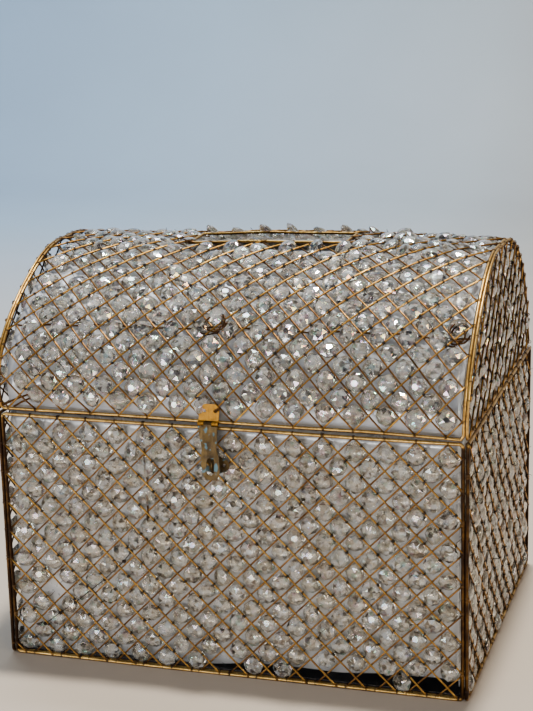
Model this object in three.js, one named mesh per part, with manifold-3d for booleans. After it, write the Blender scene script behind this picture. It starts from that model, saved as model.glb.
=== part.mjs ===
// A wedding card box: a rectangular base and a barrel lid of welded wire panels, strung with glass
// beads and lined with thin sheet. Two butt hinges join them along the back, and a hasp closes over a
// staple in front. Units are millimetres. +X is to the right, +Y to the back and +Z up. The origin is
// under the middle of the base.
import * as THREE from "three";
import { mergeVertices } from "three/addons/utils/BufferGeometryUtils.js";
import Module from "manifold-3d";

const wasm = await Module();
wasm.setup();

// Driving dimensions. Frame dimensions run from the middle of one frame wire to the middle of the next.
const boxWidth = 363.2;
const boxDepth = 282;
const baseHeight = 196.3;
const seamHeight = 5;
const lidHeight = 109.7;
const lidStraightSide = 9.3;
const crownFlat = 38;
const haunchPower = 1.66;
const frameWire = 2.8;
const meshWire = 1;
const gap = 0.3;

// The diamond mesh: one cell's width and height, and a crossing from which the cells are counted.
const baseCell = { width: 23.1, height: 23.5, crossingX: 6 };
const lidCell = { width: 22.6, height: 23.4, crossingX: 7.8 };
const endCell = { width: 23.3, height: 23.5, crossingX: 0 };

// Sheets behind the mesh: a bead layer as thick as the glass would be if it were spread out, and a lining.
const beadLayer = 2.2;
const liningSheet = 0.8;
const liningDepth = 6.5;
const liningLift = 8;
const bottomSheet = 1.5;
const stiffener = { wire: 1.8, frontX: -65, frontLow: 118, alongDome: 0.19 };

// The card slot in the crown, the hasp in front and the butt hinges at the back.
const slot = { x: -2, length: 128, width: crownFlat, wire: 2.4 };
const hinge = { x: 100, length: 24, knuckle: 7.1, leafHeight: 14, holeHeight: 8.7, holeRadius: 1.3 };
const hingeBarrel = { outer: 1.9, hole: 1.05, pin: 0.8, sheet: 1 };
const hasp = { x: -11, width: 15.6, knuckle: 4.6, pinBelowRail: 0.7, restAngle: 7 };
const haspBarrel = { outer: 1.7, hole: 0.95, pin: 0.75, sheet: 0.8 };
const lidLeaf = { height: 14.6, lean: 2.6, clip: 2.8, holeHeight: 9.4, holeSpacing: 9, holeRadius: 1.35 };
const strap = { length: 42, lean: 3.4, slotBelow: 32, slotWidth: 6, slotLength: 13.2 };
const staple = { x: -8, height: 8, reach: 5.4, wire: 1.8 };
const staplePlate = { x: -6.2, width: 21, height: 13.2, ear: 5.5, waist: 3, holeInset: 4, holeRadius: 1.4 };

// Places that follow from them.
const wireRadius = frameWire / 2;
const halfWidth = boxWidth / 2;
const halfDepth = boxDepth / 2;
const panelHalfWidth = halfWidth - frameWire - gap;
const lowerRail = wireRadius;
const upperRail = lowerRail + baseHeight;
const lidRail = upperRail + seamHeight;
const crown = lidRail + lidHeight;
const springing = lidRail + lidStraightSide;
const clearOfFrame = wireRadius + gap;
const meshInset = clearOfFrame + meshWire / 2;
const layerOffset = meshWire / 2 + 0.2;
const beadDepth = meshWire + 0.2 + gap + 0.2;
const haunchFacets = 6;
const archWireSteps = 2 * haunchFacets + 1;
const buried = 0.96;
const rimHalf = 0.58;
const bottomSheetLow = frameWire + gap;

const finishes = {
  frame: { color: 0x9c6b25, roughness: 0.38, metalness: 0.9 },
  mesh: { color: 0x8a5a1e, roughness: 0.42, metalness: 0.9 },
  crystal: { color: 0xe9ecf0, roughness: 0.05, metalness: 0 },
  lining: { color: 0xc6c9cf, roughness: 0.35, metalness: 0 },
  bottom: { color: 0x0d0d11, roughness: 0.15, metalness: 0 },
  hasp: { color: 0xa8721c, roughness: 0.4, metalness: 0.9 },
  strap: { color: 0x6b4722, roughness: 0.45, metalness: 0.9 },
};

// Solids: closed geometries go in and out of the boolean library.
function solidOf(geometry) {
  const bare = geometry.index ? geometry.toNonIndexed() : geometry.clone();
  bare.deleteAttribute("normal");
  bare.deleteAttribute("uv");
  const merged = mergeVertices(bare, 1e-4);
  const vertProperties = merged.attributes.position.array;
  const triVerts = new Uint32Array(merged.index.array);
  return new wasm.Manifold(new wasm.Mesh({ numProp: 3, vertProperties, triVerts }));
}

function geometryOf(solid) {
  const { vertProperties, triVerts } = solid.getMesh();
  const geometry = new THREE.BufferGeometry();
  geometry.setAttribute("position", new THREE.BufferAttribute(new Float32Array(vertProperties), 3));
  geometry.setIndex(new THREE.BufferAttribute(new Uint32Array(triVerts), 1));
  geometry.computeVertexNormals();
  return geometry;
}

function join(geometries) {
  return geometryOf(geometries.map(solidOf).reduce((whole, piece) => whole.add(piece)));
}

function cutAway(geometry, cutter) {
  return geometryOf(solidOf(geometry).subtract(solidOf(cutter)));
}

function keepInside(geometry, region) {
  return geometryOf(solidOf(geometry).intersect(solidOf(region)));
}

function named(name, finish, geometry) {
  const mesh = new THREE.Mesh(geometry, new THREE.MeshStandardMaterial(finishes[finish]));
  mesh.name = name;
  return mesh;
}

function groupOf(...children) {
  const group = new THREE.Group();
  group.add(...children);
  return group;
}

// Moves every vertex of a geometry to the place that the function gives for it.
function reshape(geometry, placeOf) {
  const position = geometry.attributes.position;
  for (let i = 0; i < position.count; i++) {
    const place = placeOf(new THREE.Vector3().fromBufferAttribute(position, i));
    position.setXYZ(i, place.x, place.y, place.z);
  }
  return geometry;
}

function block(low, high) {
  const size = new THREE.Vector3().subVectors(high, low);
  const middle = new THREE.Vector3().addVectors(low, high).multiplyScalar(0.5);
  return new THREE.BoxGeometry(size.x, size.y, size.z).translate(middle.x, middle.y, middle.z);
}

// A wire's section, an octagon whose flats are the wire's radius from its middle.
function octagon(radius) {
  const reach = radius / Math.cos(Math.PI / 8);
  const corners = [];
  for (let i = 0; i < 8; i++) {
    const turn = ((i + 0.5) * Math.PI) / 4;
    corners.push(new THREE.Vector2(Math.cos(turn), Math.sin(turn)).multiplyScalar(reach));
  }
  return new THREE.Shape(corners);
}

function wireAlong(curve, steps, radius) {
  return new THREE.ExtrudeGeometry(octagon(radius), { steps, extrudePath: curve });
}

// A straight wire between two joints, run on past them by a given length.
function straightWire(from, to, radius, over = 0) {
  const extra = new THREE.Vector3().subVectors(to, from).setLength(over);
  const curve = new THREE.LineCurve3(from.clone().sub(extra), to.clone().add(extra));
  return wireAlong(curve, 1, radius);
}

// A welded rectangle: two rails, and two slightly thinner wires whose ends are buried in them.
function wireLoop([a, b, c, d], radius) {
  const rails = [straightWire(a, b, radius, radius), straightWire(d, c, radius, radius)];
  const sides = [straightWire(a, d, radius * buried), straightWire(b, c, radius * buried)];
  return join([...rails, ...sides]);
}

// The lid's arch, seen from the end: straight sides, a flat crown and haunches a little leaner than
// an ellipse, whose power would be 2. Its x is the box's Y.
function archPath() {
  const spread = halfDepth - crownFlat / 2;
  const rise = crown - springing;
  const steps = 24;
  const haunch = [];
  for (let k = 0; k <= steps; k++) {
    const angle = (k * Math.PI) / 2 / steps;
    const across = crownFlat / 2 + spread * Math.cos(angle) ** (2 / haunchPower);
    haunch.push([across, springing + rise * Math.sin(angle) ** (2 / haunchPower)]);
  }
  const path = new THREE.Path();
  path.moveTo(-halfDepth, lidRail);
  for (const [across, height] of haunch) path.lineTo(-across, height);
  for (const [across, height] of haunch.reverse()) path.lineTo(across, height);
  path.lineTo(halfDepth, lidRail);
  return path;
}

const arch = archPath();
const archLength = arch.getLength();
// The arch is laid in flat facets: one across the crown, wide enough for the slot, and the haunches.
const shoulder = archLength / 2 - slot.width / 2 - meshInset - meshWire;
const archBends = [];
for (let i = 0; i <= haunchFacets; i++) archBends.push((i * shoulder) / haunchFacets);
for (let i = haunchFacets; i >= 0; i--) archBends.push(archLength - (i * shoulder) / haunchFacets);

// A point of the arch, a given distance along it, moved off it along its outward normal.
function archPoint(along, offset) {
  const point = arch.getPoint(along / archLength);
  const tangent = arch.getTangent(along / archLength);
  return new THREE.Vector2(point.x - tangent.y * offset, point.y + tangent.x * offset);
}

// The same place on the arch's flat facets, which bent sheets follow so that their layers never cross.
function facetPoint(along, offset) {
  const k = THREE.MathUtils.clamp(archBends.findLastIndex((bend) => bend <= along), 0, archBends.length - 2);
  const [low, high] = [archBends[k], archBends[k + 1]];
  return archPoint(low, offset).lerp(archPoint(high, offset), (along - low) / (high - low));
}

// The arch wire bends where the sheets do: each step along it is one facet, whatever its length.
class ArchCurve extends THREE.Curve {
  getUtoTmapping(u) {
    return u;
  }

  getPoint(t) {
    const place = t * archWireSteps;
    const k = Math.min(Math.floor(place), archWireSteps - 1);
    const point = facetPoint(THREE.MathUtils.lerp(archBends[k], archBends[k + 1], place - k), 0);
    return new THREE.Vector3(point.x, point.y, 0);
  }
}

// Bends a flat sheet over the arch: x stays, y runs along the arch and z is the distance outwards from it.
function bendOverArch(geometry) {
  return reshape(geometry, (flat) => {
    const point = facetPoint(flat.y, flat.z);
    return new THREE.Vector3(flat.x, point.x, point.y);
  });
}

// A rectangle of sheet with a row of vertices at each bend, lying between two heights.
function creasedSheet(halfSpan, bends, low, high, middleX = 0) {
  const sheet = new THREE.BoxGeometry(1, 1, 1, 1, bends.length - 1, 1);
  return reshape(sheet, (unit) => {
    const row = Math.round((unit.y + 0.5) * (bends.length - 1));
    const x = middleX + unit.x * 2 * halfSpan;
    return new THREE.Vector3(x, bends[row], THREE.MathUtils.lerp(low, high, unit.z + 0.5));
  });
}

// One family of parallel mesh wires, clipped to a rectangle. Slope is how far a wire moves in x for
// each 1 in y.
function slantedWires(area, cell, slope, offset) {
  const halfAcross = (meshWire / 2) * Math.hypot(1, slope);
  const reach = Math.ceil((2 * area.halfSpan + area.high - area.low) / cell.width);
  const wires = [];
  for (let k = -reach; k <= reach; k++) {
    const start = cell.crossingX + k * cell.width;
    const atLeft = area.origin + (-area.halfSpan - start) / slope;
    const atRight = area.origin + (area.halfSpan - start) / slope;
    const low = Math.max(area.low, Math.min(atLeft, atRight));
    const high = Math.min(area.high, Math.max(atLeft, atRight));
    if (high - low < 3 * meshWire) continue;
    const bends = [low, ...area.bends.filter((y) => y > low + 0.5 && y < high - 0.5), high];
    const wire = creasedSheet(halfAcross, bends, offset - meshWire / 2, offset + meshWire / 2);
    wires.push(reshape(wire, (p) => p.setX(p.x + start + slope * (p.y - area.origin))));
  }
  return wires;
}

// Flat panels are drawn standing in their own xy plane, seen from outside, with z outwards, and then
// turned into place.
function rectangleOutline(halfSpan, low, high) {
  return (inset) => {
    const x = halfSpan - inset;
    const corners = [[-x, low + inset], [x, low + inset], [x, high - inset], [-x, high - inset]];
    return new THREE.Shape(corners.map(([cx, cy]) => new THREE.Vector2(cx, cy)));
  };
}

function archOutline(inset) {
  const points = archBends.map((along) => archPoint(along, -inset));
  return new THREE.Shape(points.map((p) => new THREE.Vector2(p.x, Math.max(p.y, lidRail + inset))).reverse());
}

function plate(shape, low, high) {
  return new THREE.ExtrudeGeometry(shape, { depth: high - low, bevelEnabled: false }).translate(0, 0, low);
}

// The slightly thicker wire round the edge of a mesh, in which the ends of its wires are buried.
function rim(outline, inset, offset) {
  const shape = outline(inset - meshWire / 2);
  shape.holes.push(outline(inset + meshWire / 2));
  return plate(shape, offset - rimHalf, offset + rimHalf);
}

function flatMesh(outline, area, cell, direction, offset) {
  const wires = slantedWires(area, cell, (direction * cell.width) / cell.height, offset);
  const region = plate(outline(meshInset), offset - meshWire, offset + meshWire);
  const clipped = keepInside(join(wires), region);
  return join([clipped, rim(outline, meshInset, offset)]);
}

function flatPanel(name, frame, outline, area, cell, beads, lining) {
  return groupOf(
    named(name + "_frame", "frame", frame),
    named(name + "_mesh_rising", "mesh", flatMesh(outline, area, cell, 1, -layerOffset)),
    named(name + "_mesh_falling", "mesh", flatMesh(outline, area, cell, -1, layerOffset)),
    named(name + "_crystals", "crystal", plate(beads, -beadDepth - beadLayer, -beadDepth)),
    named(name + "_liner", "lining", plate(lining, -liningDepth - liningSheet, -liningDepth)),
  );
}

// Stands a panel up and turns it round the box: 0 is the front, a quarter turn is the right end.
function stand(panel, quarterTurns, distance) {
  panel.rotation.x = Math.PI / 2;
  panel.position.y = -distance;
  const turned = groupOf(panel);
  turned.rotation.z = (quarterTurns * Math.PI) / 2;
  return turned;
}

function basePanel(name, halfSpan, cell) {
  const loop = [[-halfSpan, lowerRail], [halfSpan, lowerRail], [halfSpan, upperRail], [-halfSpan, upperRail]];
  const frame = wireLoop(loop.map(([x, y]) => new THREE.Vector3(x, y, 0)), wireRadius);
  const area = { halfSpan, low: lowerRail, high: upperRail, origin: upperRail, bends: [] };
  const beadBottom = bottomSheetLow + bottomSheet + gap;
  const beads = rectangleOutline(halfSpan - clearOfFrame, beadBottom, upperRail - clearOfFrame)(gap);
  const lining = rectangleOutline(halfSpan - liningDepth, lowerRail + liningLift, upperRail)(liningSheet);
  return flatPanel(name, frame, rectangleOutline(halfSpan, lowerRail, upperRail), area, cell, beads, lining);
}

function lidEndPanel(name) {
  const [front, back] = [-halfDepth, halfDepth].map((x) => new THREE.Vector3(x, lidRail, 0));
  const foot = straightWire(front, back, wireRadius, wireRadius);
  const frame = join([wireAlong(new ArchCurve(), archWireSteps, wireRadius * buried), foot]);
  const area = { halfSpan: halfDepth, low: lidRail, high: crown, origin: lidRail, bends: [] };
  const lining = archOutline(liningDepth + 2 * liningSheet);
  return flatPanel(name, frame, archOutline, area, endCell, archOutline(clearOfFrame + gap), lining);
}

// The dome, one welded panel bent over the arch between the two ends of the lid.
function domeFrame() {
  const archWire = wireAlong(new ArchCurve(), archWireSteps, wireRadius * buried);
  archWire.rotateX(Math.PI / 2).rotateZ(Math.PI / 2);
  const arches = [-panelHalfWidth, panelHalfWidth].map((x) => archWire.clone().translate(x, 0, 0));
  const rails = [-halfDepth, halfDepth].map((y) => {
    const [left, right] = [-panelHalfWidth, panelHalfWidth].map((x) => new THREE.Vector3(x, y, lidRail));
    return straightWire(left, right, wireRadius, wireRadius);
  });
  return join([...arches, ...rails]);
}

function slotCutter(margin) {
  const reach = new THREE.Vector3(slot.length / 2 + margin, slot.width / 2 + margin, 3 * liningDepth);
  const middle = new THREE.Vector3(slot.x, 0, crown);
  return block(middle.clone().sub(reach), middle.clone().add(reach));
}

function slotFrame() {
  const corners = [[-1, -1], [1, -1], [1, 1], [-1, 1]].map(
    ([sx, sy]) => new THREE.Vector3(slot.x + (sx * slot.length) / 2, (sy * slot.width) / 2, crown),
  );
  return wireLoop(corners, slot.wire / 2);
}

function domeMesh(direction, offset) {
  const halfSpan = panelHalfWidth - meshInset;
  const low = meshInset;
  const high = archLength - meshInset;
  const bends = [low, ...archBends.slice(1, -1), high];
  const area = { halfSpan: halfSpan - meshWire / 4, low, high, origin: 0, bends: archBends };
  const wires = slantedWires(area, lidCell, (direction * lidCell.width) / lidCell.height, offset);
  const sides = [-halfSpan, halfSpan].map((x) =>
    creasedSheet(meshWire / 2, bends, offset - rimHalf, offset + rimHalf, x),
  );
  const edgeHalf = rimHalf * buried;
  const edges = [low, high].map((y) =>
    creasedSheet(halfSpan, [y - meshWire / 2, y + meshWire / 2], offset - edgeHalf, offset + edgeHalf),
  );
  const sheet = join([...wires, ...sides, ...edges].map(bendOverArch));
  const opened = cutAway(sheet, slotCutter(meshInset));
  const slotOutline = rectangleOutline(slot.length / 2, -slot.width / 2, slot.width / 2);
  return join([opened, rim(slotOutline, -meshInset, offset).translate(slot.x, 0, crown)]);
}

function domeSheet(inset, depth, thickness, slotMargin) {
  const bends = [inset, ...archBends.slice(1, -1), archLength - inset];
  const flat = creasedSheet(panelHalfWidth - inset, bends, -depth - thickness, -depth);
  const sheet = bendOverArch(flat);
  return cutAway(sheet, slotCutter(slotMargin));
}

// Loose wires behind the beads, one along the front of the lid and one up the front of the base.
const stiffenerDepth = beadDepth + beadLayer + gap + stiffener.wire / 2;

function lidStiffener() {
  const reach = panelHalfWidth - frameWire;
  const place = facetPoint(archLength * stiffener.alongDome, -stiffenerDepth);
  const ends = [-reach, reach].map((x) => new THREE.Vector3(x, place.x, place.y));
  return straightWire(ends[0], ends[1], stiffener.wire / 2);
}

function frontStiffener() {
  const foot = new THREE.Vector3(stiffener.frontX, stiffenerDepth - halfDepth, stiffener.frontLow);
  return straightWire(foot, foot.clone().setZ(upperRail - stiffener.wire), stiffener.wire / 2);
}

// Leaves: a pin runs along x through the origin, the leaf's sheet hangs along y and the barrel stands
// out in z.
function knuckle(barrel, from, to) {
  const ring = new THREE.Shape().absarc(0, 0, barrel.outer, 0, 2 * Math.PI);
  ring.holes.push(new THREE.Path().absarc(0, 0, barrel.hole, 0, 2 * Math.PI, true));
  const tube = new THREE.ExtrudeGeometry(ring, { depth: to - from, bevelEnabled: false, curveSegments: 6 });
  const wall = barrel.outer - barrel.hole;
  const low = new THREE.Vector3(from, barrel.hole * 0.7, -barrel.outer);
  const tab = block(low, new THREE.Vector3(to, barrel.outer + 2 * gap, -barrel.outer + wall * 0.85));
  return [tube.rotateY(Math.PI / 2).translate(from, 0, 0), tab];
}

function leaf(barrel, outline, knuckles) {
  const sheet = plate(outline, -barrel.outer, -barrel.outer + barrel.sheet);
  return join([sheet, ...knuckles.flatMap(([from, to]) => knuckle(barrel, from, to))]);
}

function pin(barrel, length) {
  return new THREE.CylinderGeometry(barrel.pin, barrel.pin, length, 12).rotateZ(Math.PI / 2);
}

function roundHole(x, y, radius) {
  return new THREE.Path().absarc(x, y, radius, 0, 2 * Math.PI, true);
}

function hingeLeaf(knuckles) {
  const half = hinge.length / 2;
  const top = hingeBarrel.outer + gap;
  const corner = 2;
  const shape = new THREE.Shape();
  shape.moveTo(-half, top);
  shape.lineTo(half, top);
  shape.lineTo(half, hinge.leafHeight - corner);
  shape.lineTo(half - corner, hinge.leafHeight);
  shape.lineTo(corner - half, hinge.leafHeight);
  shape.lineTo(-half, hinge.leafHeight - corner);
  for (const x of [-half / 2, half / 2]) {
    shape.holes.push(roundHole(x, hinge.holeHeight, hinge.holeRadius));
  }
  return leaf(hingeBarrel, shape, knuckles);
}

function hingeNodes(side, x) {
  const half = hinge.length / 2;
  const inner = half - hinge.knuckle;
  const outerKnuckles = [[-half, -inner], [inner, half]];
  const axisDepth = halfDepth + clearOfFrame + 0.1 + hingeBarrel.outer;
  const axis = new THREE.Vector3(x, axisDepth, (upperRail + lidRail) / 2);
  const baseLeaf = named("hinge_base_leaf_" + side, "hasp", hingeLeaf(outerKnuckles));
  baseLeaf.rotation.x = -Math.PI / 2;
  const upperLeaf = named("hinge_lid_leaf_" + side, "hasp", hingeLeaf([[-inner + gap, inner - gap]]));
  upperLeaf.rotation.set(Math.PI / 2, 0, Math.PI);
  upperLeaf.rotation.order = "ZXY";
  const mounted = (node) => {
    const group = groupOf(node);
    group.position.copy(axis);
    return group;
  };
  const hingePin = named("hinge_pin_" + side, "frame", pin(hingeBarrel, hinge.length + 1));
  return [baseLeaf, hingePin, upperLeaf].map(mounted);
}

// The hasp: a leaf with clipped corners on the lid, and a slotted strap that hangs from it over the
// staple. Both lean to the right, the more the further from the pin.
const haspDepth = halfDepth + clearOfFrame + haspBarrel.outer;
const haspAxis = new THREE.Vector3(hasp.x, -haspDepth, lidRail - hasp.pinBelowRail);

function haspLidLeaf() {
  const half = hasp.width / 2;
  const foot = haspBarrel.outer + gap;
  const { height, lean, clip, holeHeight, holeSpacing, holeRadius } = lidLeaf;
  const shoulder = height - clip;
  const leanAt = (y) => (lean * y) / height;
  const shape = new THREE.Shape();
  shape.moveTo(-half, foot);
  shape.lineTo(half, foot);
  shape.lineTo(half + leanAt(shoulder / 2), shoulder);
  shape.lineTo(half + leanAt(shoulder / 2) - clip, height);
  shape.lineTo(clip - half + leanAt(shoulder), height);
  shape.lineTo(leanAt(shoulder) - half, shoulder);
  for (const side of [-1, 1]) {
    shape.holes.push(roundHole((side * holeSpacing) / 2 + leanAt(holeHeight), holeHeight, holeRadius));
  }
  const knuckles = [[-half, hasp.knuckle - half], [half - hasp.knuckle, half]];
  return leaf(haspBarrel, shape, knuckles);
}

function haspStrap() {
  const half = hasp.width / 2;
  const foot = haspBarrel.outer + gap;
  const leanAt = (y) => (strap.lean * y) / strap.length;
  const right = [[half, foot], [5.6, 19], [7.2, 25], [7, 36], [4.4, strap.length]];
  const left = right.map(([x, y]) => [-x, y]).reverse();
  const outline = [...right, ...left].map(([x, y]) => new THREE.Vector2(x + leanAt(y), y));
  const shape = new THREE.Shape(outline.reverse());
  const slotRadius = strap.slotWidth / 2;
  const slotReach = strap.slotLength / 2 - slotRadius;
  const slotX = leanAt(strap.slotBelow);
  const opening = new THREE.Path();
  opening.absarc(slotX, strap.slotBelow - slotReach, slotRadius, Math.PI, 2 * Math.PI, false);
  opening.absarc(slotX, strap.slotBelow + slotReach, slotRadius, 0, Math.PI, false);
  shape.holes.push(opening);
  const inner = half - hasp.knuckle - gap;
  return leaf(haspBarrel, shape, [[-inner, inner]]);
}

function haspNodes() {
  const onLid = named("hasp_plate", "hasp", haspLidLeaf());
  onLid.rotation.x = Math.PI / 2;
  const hanging = named("hasp_strap", "strap", haspStrap());
  hanging.rotation.x = -Math.PI / 2 - THREE.MathUtils.degToRad(hasp.restAngle);
  const hung = groupOf(onLid, hanging, named("hasp_pin", "frame", pin(haspBarrel, hasp.width + 1)));
  hung.position.copy(haspAxis);
  return hung;
}

// The staple stands on an eared plate on the base, upright, so that a small padlock passes through it
// sideways.
function earedPlate() {
  const { width, height, ear, waist, holeInset, holeRadius } = staplePlate;
  const halfLong = width / 2;
  const shape = new THREE.Shape();
  shape.absarc(halfLong - ear, 0, ear, -Math.PI / 2, Math.PI / 2);
  shape.lineTo(waist, height / 2);
  shape.lineTo(-waist, height / 2);
  shape.absarc(ear - halfLong, 0, ear, Math.PI / 2, (3 * Math.PI) / 2);
  shape.lineTo(-waist, -height / 2);
  shape.lineTo(waist, -height / 2);
  for (const side of [-1, 1]) shape.holes.push(roundHole(side * (halfLong - holeInset), 0, holeRadius));
  return new THREE.ExtrudeGeometry(shape, { depth: haspBarrel.sheet, bevelEnabled: false, curveSegments: 5 });
}

function staplePath(rootY, tipY, height) {
  const bendY = tipY + staple.height / 2;
  const ends = [-1, 1].map((side) => height + (side * staple.height) / 2);
  const [roots, bends, corners] = [rootY, bendY, tipY + staple.wire / 2].map((y) =>
    ends.map((z) => new THREE.Vector3(staple.x, y, z)),
  );
  const path = new THREE.CurvePath();
  path.add(new THREE.LineCurve3(roots[0], bends[0]));
  path.add(new THREE.CubicBezierCurve3(bends[0], corners[0], corners[1], bends[1]));
  path.add(new THREE.LineCurve3(bends[1], roots[1]));
  return path;
}

function stapleNodes() {
  const height = haspAxis.z - strap.slotBelow;
  const backY = -halfDepth - layerOffset - meshWire / 2 - gap - 0.2;
  const eared = named("staple_plate", "strap", earedPlate());
  eared.rotation.x = Math.PI / 2;
  eared.position.set(staplePlate.x, backY, height);
  const rootY = backY - haspBarrel.sheet - gap;
  const path = staplePath(rootY, rootY - staple.reach, height);
  return groupOf(eared, named("staple", "strap", wireAlong(path, 10, staple.wire / 2)));
}

function bottomNodes() {
  const inset = frameWire + gap;
  const x = halfWidth - inset;
  const y = halfDepth - inset;
  const loop = [[-x, -y], [x, -y], [x, y], [-x, y]];
  const corners = loop.map(([cx, cy]) => new THREE.Vector3(cx, cy, lowerRail));
  const sheetX = x - 1;
  const sheetY = halfDepth - clearOfFrame - 0.5;
  const low = new THREE.Vector3(-sheetX, -sheetY, bottomSheetLow);
  const sheet = block(low, new THREE.Vector3(sheetX, sheetY, bottomSheetLow + bottomSheet));
  const frame = named("bottom_frame", "frame", wireLoop(corners, wireRadius));
  return [frame, named("bottom_plate", "bottom", sheet)];
}

const base = groupOf(
  ...bottomNodes(),
  stand(basePanel("front", panelHalfWidth, baseCell), 0, halfDepth),
  stand(basePanel("right", halfDepth, endCell), 1, halfWidth),
  stand(basePanel("back", panelHalfWidth, baseCell), 2, halfDepth),
  stand(basePanel("left", halfDepth, endCell), 3, halfWidth),
  named("front_stiffener", "frame", frontStiffener()),
  stapleNodes(),
);

const lid = groupOf(
  named("dome_frame", "frame", domeFrame()),
  named("slot_frame", "frame", slotFrame()),
  named("dome_mesh_rising", "mesh", domeMesh(1, layerOffset)),
  named("dome_mesh_falling", "mesh", domeMesh(-1, -layerOffset)),
  named("dome_crystals", "crystal", domeSheet(clearOfFrame + gap, beadDepth, beadLayer, clearOfFrame)),
  named("dome_liner", "lining", domeSheet(liningDepth, liningDepth, liningSheet, gap)),
  named("lid_stiffener", "frame", lidStiffener()),
  stand(lidEndPanel("lid_right"), 1, halfWidth),
  stand(lidEndPanel("lid_left"), 3, halfWidth),
  haspNodes(),
);

export default groupOf(base, lid, ...hingeNodes("left", -hinge.x), ...hingeNodes("right", hinge.x));
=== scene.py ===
"""A wire mesh card box strung with glass beads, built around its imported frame."""

import math
import random

import bpy
from mathutils import Matrix, Quaternion, Vector


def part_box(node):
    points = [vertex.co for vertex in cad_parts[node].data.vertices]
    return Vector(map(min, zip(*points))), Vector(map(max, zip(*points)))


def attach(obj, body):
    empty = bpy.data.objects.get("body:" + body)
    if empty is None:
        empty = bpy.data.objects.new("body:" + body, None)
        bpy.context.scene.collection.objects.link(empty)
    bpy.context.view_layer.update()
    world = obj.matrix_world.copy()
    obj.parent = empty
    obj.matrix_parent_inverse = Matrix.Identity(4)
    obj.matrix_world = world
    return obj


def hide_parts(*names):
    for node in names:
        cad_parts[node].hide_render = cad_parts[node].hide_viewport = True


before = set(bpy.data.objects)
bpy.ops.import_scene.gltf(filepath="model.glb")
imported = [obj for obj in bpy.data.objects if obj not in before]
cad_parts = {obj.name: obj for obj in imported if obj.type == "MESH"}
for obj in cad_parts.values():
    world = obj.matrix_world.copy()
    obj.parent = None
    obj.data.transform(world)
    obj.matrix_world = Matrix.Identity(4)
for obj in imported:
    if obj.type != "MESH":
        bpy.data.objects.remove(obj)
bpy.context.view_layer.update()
MM = 0.001


def box_mm(node):
    low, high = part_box(node)
    return low / MM, high / MM


# Places, in millimetres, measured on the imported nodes.
front_low, front_high = box_mm("front_frame")
right_low, right_high = box_mm("right_frame")
dome_low, dome_high = box_mm("dome_frame")
slot_low, slot_high = box_mm("slot_frame")
ROD = (front_high.y - front_low.y) / 2
HALF_DEPTH = -(front_low.y + front_high.y) / 2
HALF_WIDTH = (right_low.x + right_high.x) / 2
PANEL_HALF = front_high.x - ROD
LOWER = front_low.z + ROD
UPPER = front_high.z - ROD
LID_RAIL = dome_low.z + ROD
CROWN = (slot_low.z + slot_high.z) / 2
SLOT_X = (slot_low.x + slot_high.x) / 2
SLOT_ROD = 1.2
SLOT_HALF_LONG = (slot_high.x - slot_low.x) / 2 - SLOT_ROD
SLOT_HALF_WIDE = (slot_high.y - slot_low.y) / 2 - SLOT_ROD
STRAIGHT_SIDE = 9.3
SPRINGING = LID_RAIL + STRAIGHT_SIDE
CROWN_HALF = SLOT_HALF_WIDE

# The superellipse power of the lid's haunches, and the radius of each kind of rod.
HAUNCH_POWER = 1.66
ARCH_ROD = 1.15
RAIL_ROD = 1.4
CORNER_RADIUS = 3.0

# The diamond mesh: cell width and height, and a crossing that the cells are counted from.
BASE_CELL = (23.1, 23.5, 6.0)
LID_CELL = (22.6, 23.4, 7.8)
END_CELL = (23.3, 23.5, 0.0)

# Layers of a panel, counted outwards from its frame's middle plane.
MESH_RADIUS = 0.74
OUTER_DEPTH = 0.85
INNER_DEPTH = -0.6
BEAD_RADIUS = 8.1
BEAD_DEPTH = -3.1
LINING_DEPTH = 6.5
LINING_SHEET = 0.8
BEAD_BACK_LIMIT = 0.35 - LINING_DEPTH

# How mesh wires wander sideways and outwards: size and wave of the wobble.
MESH_SWAY = (0.24, 14.0)
MESH_LIFT = (0.14, 9.0)
MESH_STEP = 4.2

# Strings, knots and the fine wire wound round the rods.
STRING_RADIUS = 0.22
HOLE_INSET = 3.4
KNOT_WIRE, KNOT_PITCH = 0.38, 0.66
TAIL_SHARE, TAIL_RADIUS = 0.2, 0.24
STRAY_SHARE, STRAY_RADIUS = 0.08, 0.28
WRAP_WIRE, WRAP_PITCH, WRAP_GAP = 0.32, 0.75, 0.3

# Beads: their play in a cell, their size, and how far they may turn, in radians.
BEAD_INSET = 6.0
BEAD_DRIFT = 0.7
BEAD_SIZES = (0.95, 1.02)
MOST_ROLL, MOST_NOD = 0.5, 0.3
LEANING_SHARE = 0.08
BEADED_SHARE = 0.99
FOOT_ROW = 12.0
FOOT_BEADED_SHARE = 0.9
FOOT_BEADS_END = 45.0
LONE_BEAD = 133.0

# The lamp whose light some of the lid's facets send to the eye, and where those beads are on the arch.
EYE = Vector((399.6, -1308.1, 577.8))
LAMP = Vector((700.0, -1150.0, 1550.0))
GLINT_SHARE = 0.1
GLINT_ZONE = (22, 175)


# -------- geometry

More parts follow.
